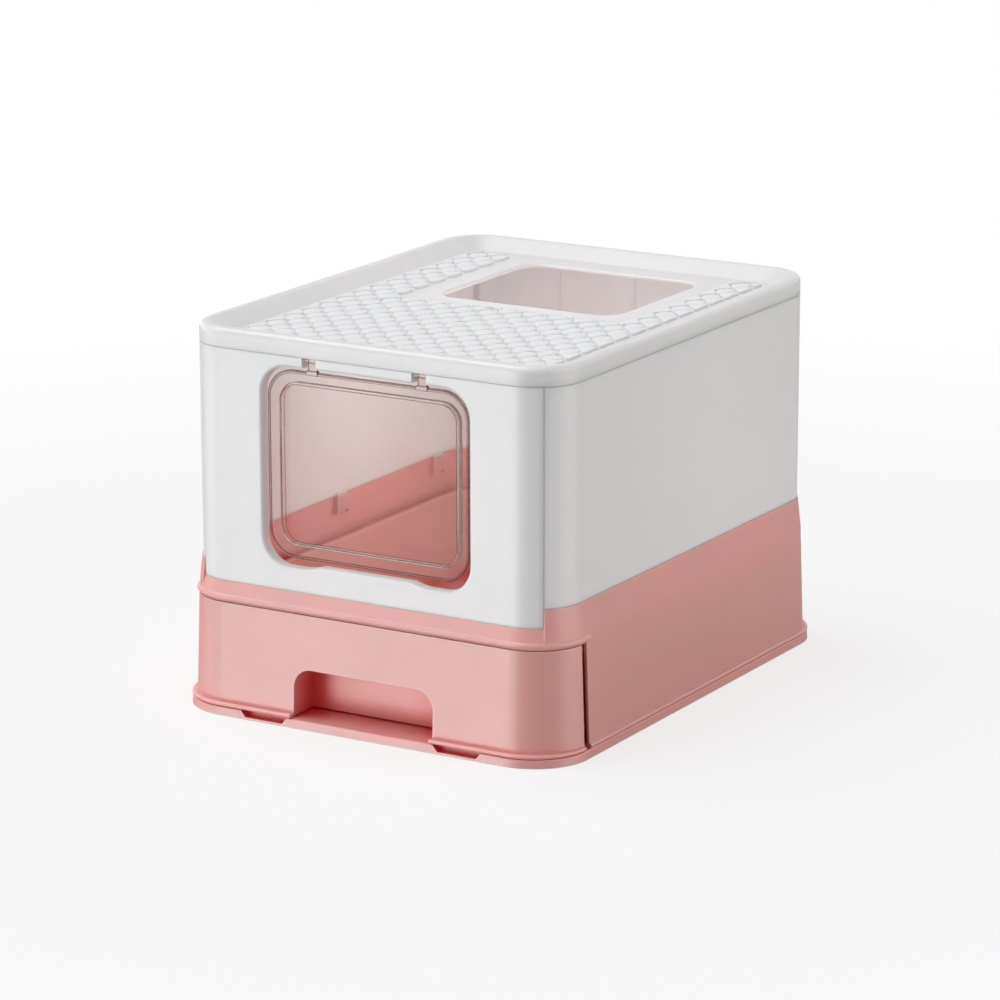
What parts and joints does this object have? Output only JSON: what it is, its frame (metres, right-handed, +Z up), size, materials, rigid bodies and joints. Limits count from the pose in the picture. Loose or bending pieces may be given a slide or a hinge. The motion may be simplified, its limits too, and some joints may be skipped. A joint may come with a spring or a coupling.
{
  "type": "drawer litter box",
  "caption": "Enclosed cat litter box with a pull-out litter drawer, a hanging see-through flap in the front wall and a second entry in the tray-shaped lid.",
  "frame": {"origin": "bottom centre of the footprint, on the floor", "axes": "+Z up, the flap and the drawer's front face -Y, +X to the right of a viewer who faces the front"},
  "size_m": [0.41, 0.525, 0.358],
  "materials": {
    "pink_plastic": "satin moulded polypropylene",
    "white_plastic": "satin moulded polypropylene",
    "clear_pink_plastic": "glossy see-through"
  },
  "bodies": {
    "box": {"base_plate": "pink_plastic", "housing": "pink_plastic", "front_panel": "white_plastic", "rear_panel": "white_plastic", "left_panel": "white_plastic", "right_panel": "white_plastic"},
    "drawer": {"drawer": "pink_plastic"},
    "flap": {"flap_door": "clear_pink_plastic"},
    "lid": {"lid": "white_plastic"}
  },
  "joints": [
    {"name": "drawer_slide", "type": "slide", "parent": "box", "child": "drawer", "axis": [0, -1, 0], "range_m": [0, 0.4]},
    {"name": "flap_hinge", "type": "hinge", "parent": "box", "child": "flap", "pos_m": [0, -0.2415, 0.337], "axis": [1, 0, 0], "range_deg": [-75, 75]},
    {"name": "lid_lift", "type": "slide", "parent": "box", "child": "lid", "axis": [0, 0, 1], "range_m": [0, 0.15]}
  ]
}
